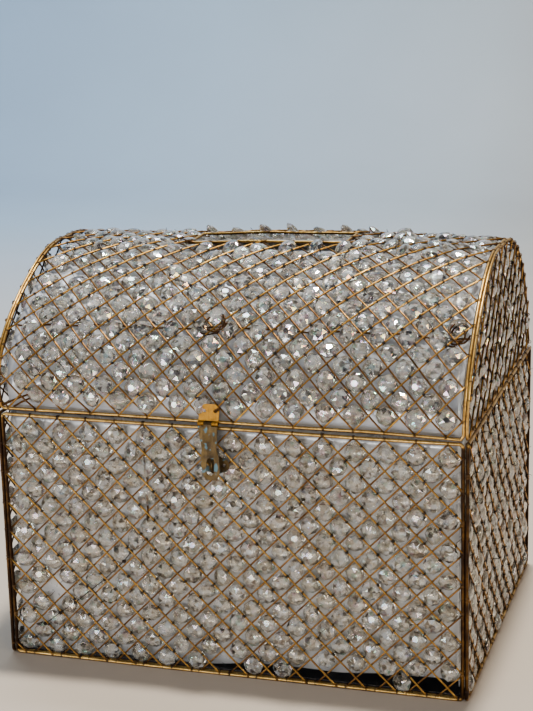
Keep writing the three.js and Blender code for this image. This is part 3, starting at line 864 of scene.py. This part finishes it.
def rod_piece(part, body, loop, radius):
    """A closed loop of gold rod, browner and a little thicker where it stands upright as a corner post."""
    def post(i):
        way = loop[(i + 1) % len(loop)] - loop[i - 1]
        return smooth(abs(way.normalized().z), 0.9, 0.99) if loop[i].z < UPPER + 0.5 else 0.0

    pile = Pile()
    # The rod's tone is painted lighter on the side that faces out and up and darker on the far side: painted
    # highlight and painted shade.
    pile.tube(loop, lambda i: radius + 0.12 * post(i), 10, closed=True,
              tone=lambda i: 0.6 - 0.75 * post(i), outward=lambda i: painted_highlight_side(loop[i]))
    pile.piece(part + "_rods", body, "frame_gold", GOLD_ROD, [part + "_frame"])


def painted_highlight_side(p):
    """The side of a rod that gets the painted highlight: outwards and up, towards the light."""
    x = math.copysign(0.5, p.x) * smooth(abs(p.x), 150, 178)
    y = math.copysign(0.9, p.y) * smooth(abs(p.y), 20, 120)
    return Vector((x, y, 0.6)).normalized()


def wavy(points, size, wave, seed):
    """Rods are bent by hand, so they wander a little from a straight line."""
    along, bent = 0.0, []
    for i, p in enumerate(points):
        along += (p - points[i - 1]).length if i else 0.0
        bent.append(p + Vector((sway(seed, along, size, wave), sway(seed + 3, along, size, wave),
                                sway(seed + 6, along, size, wave))))
    return bent


def seam_shift(p):
    """The lid's and the base's rails come nearer each other at the front's right end."""
    near = max(0.0, min(1.0, (p.x - (PANEL_HALF - 70)) / 60)) * (1 if p.y < 0 else 0)
    if abs(p.z - UPPER) < 0.4:
        return p + Vector((0, 0, 0.5 * near))
    if abs(p.z - LID_RAIL) < 0.4:
        return p - Vector((0, 0, 1.1 * near))
    return p


def corners_of(low_u, low_v, high_u, high_v):
    return [(low_u, low_v), (high_u, low_v), (high_u, high_v), (low_u, high_v)]


def base_frame(panel):
    corners = [panel.place(u, v) for u, v in corners_of(-panel.high_u, LOWER, panel.high_u, UPPER)]
    loop = [seam_shift(p) for p in rounded_loop(corners, 3.2)]
    rod_piece(panel.name, "base", wavy(loop, 0.14, 36.0, hash_of(panel.name)), RAIL_ROD)


def hash_of(text):
    """A seed for a rod's wobble, from its panel's name."""
    return sum(ord(c) for c in text) % 17


def dome_frame():
    count = int(ARCH_LENGTH / 4)
    right, left = ([dome_place(x, ARCH_LENGTH * k / count) for k in range(count + 1)]
                   for x in (PANEL_HALF, -PANEL_HALF))
    loop = []
    for points in (right, left[::-1]):
        first, last = points[0], points[-1]
        inward = Vector((-math.copysign(8, first.x), 0, 0))
        loop += fillet(first, first + inward, points[1], CORNER_RADIUS)
        loop += points[1:-1]
        loop += fillet(last, points[-2], last + inward, CORNER_RADIUS)
        start = last + inward.normalized() * CORNER_RADIUS
        end = Vector((-start.x, start.y, start.z))
        loop += run(start, end)
    loop = [seam_shift(p) for p in loop]
    rod_piece("dome", "lid", wavy(loop, 0.14, 36.0, 4), ARCH_ROD + 0.08)


# The end frames stand a little inside the ends' mesh plane.
END_FRAME_DEPTH = -0.7


def end_frame(panel):
    outline = [panel.place(p.x, p.y, END_FRAME_DEPTH) for p in ARCH[::2]]
    end = panel.place(ARCH[-1].x, ARCH[-1].y, END_FRAME_DEPTH)
    if (outline[-1] - end).length > 0.5:
        outline.append(end)
    first, last = outline[0], outline[-1]
    inset = (first - last).normalized() * CORNER_RADIUS
    loop = fillet(first, last, outline[1], CORNER_RADIUS) + outline[1:-1]
    loop += fillet(last, outline[-2], first, CORNER_RADIUS) + run(last + inset, first - inset)
    loop = [seam_shift(p) for p in loop]
    rod_piece(panel.name, "lid", wavy(loop, 0.12, 36.0, hash_of(panel.name)), ARCH_ROD)


for panel in PANELS:
    if panel.body == "base":
        base_frame(panel)
    elif panel.name != "dome":
        end_frame(panel)
dome_frame()

slot_corners = [Vector((x, y, CROWN)) for x, y in corners_of(
    SLOT_X - SLOT_HALF_LONG, -SLOT_HALF_WIDE, SLOT_X + SLOT_HALF_LONG, SLOT_HALF_WIDE)]
slot_loop = [lid_warp(p) for p in rounded_loop(slot_corners, 2.0)]
rod_piece("slot", "lid", wavy(slot_loop, 0.15, 30.0, 5), ARCH_ROD)

foot_low, foot_high = box_mm("bottom_frame")
foot_corners = [Vector((x, y, LOWER)) for x, y in corners_of(
    foot_low.x + ROD, foot_low.y + ROD, foot_high.x - ROD, foot_high.y - ROD)]
rod_piece("bottom", "base", rounded_loop(foot_corners, CORNER_RADIUS), ROD)


# -------- linings

def grid_sheet(part, body, material, place, columns, rows, keep=lambda u, v: True):
    """A panel's thin lining over a grid of places, with an inner and an outer face."""
    high = len(rows(columns[0]))
    count = len(columns) * high
    verts, faces = [], []
    for face_depth in (-LINING_DEPTH, -LINING_DEPTH - LINING_SHEET):
        for u in columns:
            for v in rows(u):
                verts.append(place(u, v, face_depth))
    kept = set()
    for i in range(len(columns) - 1):
        for j in range(high - 1):
            middle = ((columns[i] + columns[i + 1]) / 2, (rows(columns[i])[j] + rows(columns[i])[j + 1]) / 2)
            if keep(*middle):
                kept.add((i, j))
    for i, j in sorted(kept):
        a, b, c, d = i * high + j, (i + 1) * high + j, (i + 1) * high + j + 1, i * high + j + 1
        faces.append((a, b, c, d))
        faces.append((d + count, c + count, b + count, a + count))
        edges = (((0, -1), (b, a)), ((1, 0), (c, b)), ((0, 1), (d, c)), ((-1, 0), (a, d)))
        for step, (one, two) in edges:
            if (i + step[0], j + step[1]) not in kept:
                faces.append((one, two, two + count, one + count))
    pile = Pile()
    pile.add(verts, faces)
    pile.piece(part + "_lining", body, "lining", material, [part + "_liner"])


def spread(low, high, count):
    return [low + (high - low) * k / count for k in range(count + 1)]


def base_lining(panel, seed):
    wide = panel.name in ("front", "back")
    half = HALF_WIDTH - LINING_DEPTH - 0.4 if wide else HALF_DEPTH - LINING_DEPTH - LINING_SHEET - 0.4

    def foot(u):
        if panel.name != "front":
            return LOWER + 7.5 + sway(seed, u, 0.6, 22.0)
        return LOWER + 3.0 + 5.6 * smooth(u, -50, 40) + 3.4 * smooth(u, 60, 165) + sway(seed, u, 0.45, 18.0)

    def rows(u):
        return spread(foot(u), UPPER + 0.9, 24)

    def place(u, v, d):
        return panel.place(u, v, d + sway(seed, u + v * 0.7, 0.25, 26.0))

    grid_sheet(panel.name, "base", BASE_LINING, place, spread(-half, half, 56), rows)


def end_lining(panel):
    half = HALF_DEPTH - LINING_DEPTH - LINING_SHEET - 0.3
    foot = LID_RAIL - 1.6

    def rows(u):
        return spread(foot, max(foot + 4, arch_height(u, LINING_DEPTH + LINING_SHEET + 0.4)), 18)

    grid_sheet(panel.name, "lid", LIT_LID_LINING, panel.place, spread(-half, half, 60), rows)


def dome_lining():
    half = HALF_WIDTH - LINING_DEPTH - 0.4
    slot_low_u, slot_high_u = SLOT_X - SLOT_HALF_LONG - 0.3, SLOT_X + SLOT_HALF_LONG + 0.3
    middle = ARCH_LENGTH / 2
    columns = spread(-half, slot_low_u, 20) + spread(slot_low_u, slot_high_u, 20)[1:]
    columns += spread(slot_high_u, half, 20)[1:]
    wide = SLOT_HALF_WIDE + 0.3
    lines = spread(-1.6, middle - wide, 34) + spread(middle - wide, middle + wide, 6)[1:]
    lines += spread(middle + wide, ARCH_LENGTH + 1.6, 34)[1:]

    def keep(u, s):
        return not (slot_low_u < u < slot_high_u and abs(s - middle) < wide)

    grid_sheet("dome", "lid", LIT_LID_LINING, dome_place, columns, lambda u: lines, keep)


for number, panel in enumerate(PANELS):
    if panel.body == "base":
        base_lining(panel, number * 2.3)
    elif panel.name != "dome":
        end_lining(panel)
dome_lining()

# -------- loose wires

def middle_of(node):
    """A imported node's middle and its box, in millimetres."""
    low, high = box_mm(node)
    return (low + high) / 2, low, high


def front_stiffener():
    """A stiff wire that hangs behind the beads from the front's top rail, with a twist at its lower end."""
    middle, low, high = middle_of("front_stiffener")
    pile = Pile()
    points = [Vector((middle.x + sway(2, z, 0.5, 13), middle.y + 0.2, z))
              for z in [high.z + (low.z - high.z) * k / 24 for k in range(25)]]
    pile.tube(points, 0.72, 7, tone=0.25)
    coil(pile, points[-2], Vector((0, 0, 1)), 1.3, 0.5, 3.4, 1.2, tone=0.05)
    coil(pile, points[2], Vector((0, 0, 1)), 1.2, 0.4, 3.0, 1.1, tone=0.1)
    pile.piece("front_stiffener_wire", "base", "frame_gold", MESH_DARK, ["front_stiffener"])


def dark_string():
    """A tarnished string with dark knots, which runs aslant along the front's mesh at its left."""
    pile = Pile()
    places = ((-65.0, 105.5), (-78.0, 94.3), (-84.0, 86.0), (-100.6, 69.6), (-126.0, 48.4), (-139.2, 38.4),
              (-152.7, 27.6))
    knots = [Vector((x, -HALF_DEPTH - 0.1, z)) for x, z in places]
    pile.tube(knots, 0.4, 5, tone=0.05)
    pick = random.Random(7)
    for knot in knots:
        for _ in range(2):
            axis = Vector((pick.uniform(-1, 1), pick.uniform(-0.4, 0.4), pick.uniform(-1, 1)))
            coil(pile, knot, axis, pick.uniform(0.9, 1.6), 0.6, pick.uniform(1.6, 2.6), 1.0, tone=0.0)
    pile.piece("front_dark_string", "base", "mesh_gold", TIE_WIRE)


# Where along the lid its wire is tangled.
TANGLES = (-15.5, 167.0)


def lid_stiffener():
    """A wavy wire behind the lid's beads, with a dark tangle at two places along it."""
    middle, low, high = middle_of("lid_stiffener")
    pile = Pile()
    count = 90
    points = []
    for k in range(count + 1):
        x = low.x + (high.x - low.x) * k / count
        bend = Vector((x, middle.y + sway(4, x, 0.3, 21), middle.z + sway(1, x, 0.9, 17)))
        points.append(lid_warp(bend))
    pile.tube(points, 0.75, 7, tone=0.3)
    pick = random.Random(31)
    for x in TANGLES:
        heart = lid_warp(Vector((x, middle.y - 3.5, middle.z + 4)))
        outwards = Vector((0, -0.8, 0.6))
        up = Vector((0, 0.6, 0.8))
        for _ in range(7):
            size = pick.uniform(5.5, 10.5)
            aside = Vector((pick.uniform(-2, 2), 0, 0)) + up * pick.uniform(-2, 2)
            start = pick.uniform(0, math.tau)
            turn = [start + pick.uniform(0.95, 1.05) * k * 0.16 for k in range(pick.choice((7, 9, 12)))]
            loop = [heart + aside + Vector((1, 0, 0)) * (size * math.cos(a))
                    + up * (pick.uniform(0.72, 0.95) * size * math.sin(a))
                    + outwards * (2.6 + 1.5 * math.sin(1.7 * a + size)) for a in turn]
            pile.tube(loop, 0.75, 5, tone=pick.choice((0.0, 0.1, 0.3)))
        for _ in range(7):
            a = pick.uniform(0, math.tau)
            root = heart + Vector((1, 0, 0)) * (8.5 * math.cos(a)) + up * (8.5 * math.sin(a)) + outwards * 2
            tip = root + Vector((pick.uniform(-5, 5), pick.uniform(-2, 0), pick.uniform(-4, 4)))
            pile.tube([root, root.lerp(tip, 0.5) + outwards * 0.6, tip], 0.3, 4, tone=0.05)
    pile.piece("lid_stiffener_wire", "lid", "frame_gold", MESH_DARK, ["lid_stiffener"])


def bent_ends():
    """The bent wire ends at the lid's left corner, the twist at the hasp plate and one at the slot."""
    pile = Pile()
    corner = Vector((-PANEL_HALF + 1, -HALF_DEPTH - 1.2, LID_RAIL + 2.2))
    tip = Vector((-PANEL_HALF + 24, -HALF_DEPTH - 1.0, LID_RAIL + 12.5))
    for start, end in ((corner, tip), (corner + Vector((9.5, 0, -0.4)), tip + Vector((1.2, 0, -3.0)))):
        pile.tube([start, start.lerp(end, 0.5) + Vector((0, -0.4, 0.5)), end], 0.85, 6, tone=0.35)
    pile.tube([tip, tip + Vector((1.6, -0.4, -1.2)), tip + Vector((1.2, 0, -3.2))], 0.8, 6, tone=0.1)
    _, low, high = middle_of("hasp_plate")
    hole = Vector((high.x - 3.4, low.y - 0.2, high.z - 4.6))
    coil(pile, hole + Vector((2.2, 0, 1.2)), Vector((0.85, 0, 0.5)), 1.0, 0.4, 5.0, 0.9, tone=0.3)
    slot_end = lid_warp(Vector((SLOT_X - SLOT_HALF_LONG, -SLOT_HALF_WIDE, CROWN + 0.6)))
    coil(pile, slot_end, Vector((0.6, 0.8, 0)), 1.6, 0.45, 5.0, 1.2, tone=0.3)
    across = [lid_warp(Vector((SLOT_X - SLOT_HALF_LONG - t, -SLOT_HALF_WIDE + 0.9 * t, CROWN + 1.2)))
              for t in (-6, 0, 8, 17, 26)]
    pile.tube(across, 0.75, 6, tone=0.35)
    pile.piece("lid_bent_ends", "lid", "mesh_gold", MESH_DARK)


front_stiffener()
dark_string()
lid_stiffener()
bent_ends()


# -------- carried nodes

CARRIED = {
    "bottom_plate": BLACK,
    "hasp_plate": HASP_BRASS,
    "hasp_strap": STRAP_BRONZE,
    "staple": STRAP_BRONZE,
    "staple_plate": STRAP_BRONZE,
    "hasp_pin": GOLD_ROD,
}
for side in ("left", "right"):
    CARRIED["hinge_base_leaf_" + side] = HASP_BRASS
    CARRIED["hinge_lid_leaf_" + side] = HASP_BRASS
    CARRIED["hinge_pin_" + side] = GOLD_ROD
for node, material in CARRIED.items():
    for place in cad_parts[node].material_slots:
        place.material = material


# -------- camera, floor and light

def solved_camera():
    """A camera at the eye's place and turn: yaw to the left, pitch down and a slight roll."""
    yaw, pitch, roll = math.radians(-17.38), math.radians(14.77), math.radians(-1.408)
    forward = Vector((math.sin(yaw) * math.cos(pitch), math.cos(yaw) * math.cos(pitch), -math.sin(pitch)))
    right = Vector((math.cos(yaw), -math.sin(yaw), 0))
    up = right.cross(forward)
    right_rolled = right * math.cos(roll) + up * math.sin(roll)
    up_rolled = up * math.cos(roll) - right * math.sin(roll)
    camera = bpy.data.objects.new("camera", bpy.data.cameras.new("camera"))
    bpy.context.scene.collection.objects.link(camera)
    camera.data.sensor_width = 36.0
    camera.data.lens = 88.7
    turn = Matrix((right_rolled, up_rolled, -forward)).transposed().to_4x4()
    camera.matrix_world = Matrix.Translation(EYE * MM) @ turn
    bpy.context.scene.camera = camera


def area_light(name, at, target, size, power, color):
    light = bpy.data.lights.new(name, "AREA")
    light.shape = "RECTANGLE"
    light.size, light.size_y = size
    light.energy = power
    light.color = color
    obj = bpy.data.objects.new(name, light)
    bpy.context.scene.collection.objects.link(obj)
    obj.location = at
    obj.rotation_euler = (Vector(target) - Vector(at)).to_track_quat("-Z", "Y").to_euler()


def floor_sweep():
    """A pale floor that curves up into a backdrop."""
    start, radius = 1.9, 0.6
    turn = [k * math.pi / 2 / 10 for k in range(1, 11)]
    profile = [(-14.0, 0.0), (start, 0.0)]
    profile += [(start + radius * math.sin(a), radius - radius * math.cos(a)) for a in turn]
    profile.append((start + radius, 7.0))
    verts, faces = [], []
    for x in (-12.0, 12.0):
        verts += [Vector((x, y, z)) for y, z in profile]
    count = len(profile)
    for k in range(count - 1):
        faces.append((k, k + count, k + 1 + count, k + 1))
    mesh = bpy.data.meshes.new("floor")
    mesh.from_pydata(verts, [], faces)
    mesh.shade_smooth()
    obj = bpy.data.objects.new("floor", mesh)
    bpy.context.scene.collection.objects.link(obj)
    # The floor is beige; the wall is painted blue at the left, grey towards the right and warm at the far
    # right: painted light, for cool daylight from the left and warm light from the right.
    m = Nodes("floor_cloth")
    split = m.new("ShaderNodeSeparateXYZ")
    m.link(m.coords, split.inputs[0])
    back = m.range(split.outputs["Y"], 0.0, 1.0, 0.15, 1.6)
    aside = m.range(split.outputs["X"], 0.0, 1.0, -1.6, 0.1)
    painted_wall_light = m.ramp(aside, [(0.0, (0.33, 0.50, 0.70)), (0.45, (0.40, 0.53, 0.68)), (0.8, (0.46, 0.52, 0.57)),
                          (1.0, (0.42, 0.39, 0.35))])
    wash = m.mix(back, (0.56, 0.48, 0.395), painted_wall_light)
    soft = m.ramp(m.noise(3.0, 3.0), [(0.3, (0.94, 0.94, 0.94)), (0.7, (1, 1, 1))])
    m.set(Base_Color=m.mix(1.0, wash, soft, "MULTIPLY"), Roughness=0.9)
    m.bump(m.noise(900.0, 2.0), 0.0003, 0.3)
    mesh.materials.append(m.material)


def world_light():
    world = bpy.data.worlds.new("studio")
    world.use_nodes = True
    bpy.context.scene.world = world
    background = world.node_tree.nodes["Background"]
    background.inputs["Color"].default_value = (0.46, 0.66, 1.0, 1.0)
    background.inputs["Strength"].default_value = 0.16


# Each light: its place, what it points at, its size, all in metres, its power in watts and its colour.
LIGHTS = {
    "key_overhead": ((0.12, 0.22, 2.5), (0, 0, 0.2), (0.18, 0.18), 84.0, (1.0, 0.94, 0.85)),
    "window_front": ((-0.8, -1.9, 0.12), (0, 0, 0.2), (2.4, 0.22), 28.0, (0.97, 0.98, 1.0)),
    "window_high": ((-1.5, -1.3, 1.6), (0, 0, 0.25), (0.7, 0.7), 3.4, (0.88, 0.95, 1.0)),
    "wall_wash": ((-0.6, 0.9, 3.0), (-0.6, 2.3, 0.5), (1.6, 0.5), 62.0, (0.86, 0.94, 1.0)),
    "bounce_right": ((1.9, -0.8, 0.6), (0.15, 0, 0.2), (0.8, 0.6), 19.0, (1.0, 0.89, 0.72)),
    "lamp_warm": (LAMP * MM, (0, -0.1, 0.27), (0.16, 0.16), 2.3, (1.0, 0.66, 0.26)),
}

solved_camera()
floor_sweep()
world_light()
for light_name, setting in LIGHTS.items():
    area_light(light_name, *setting)
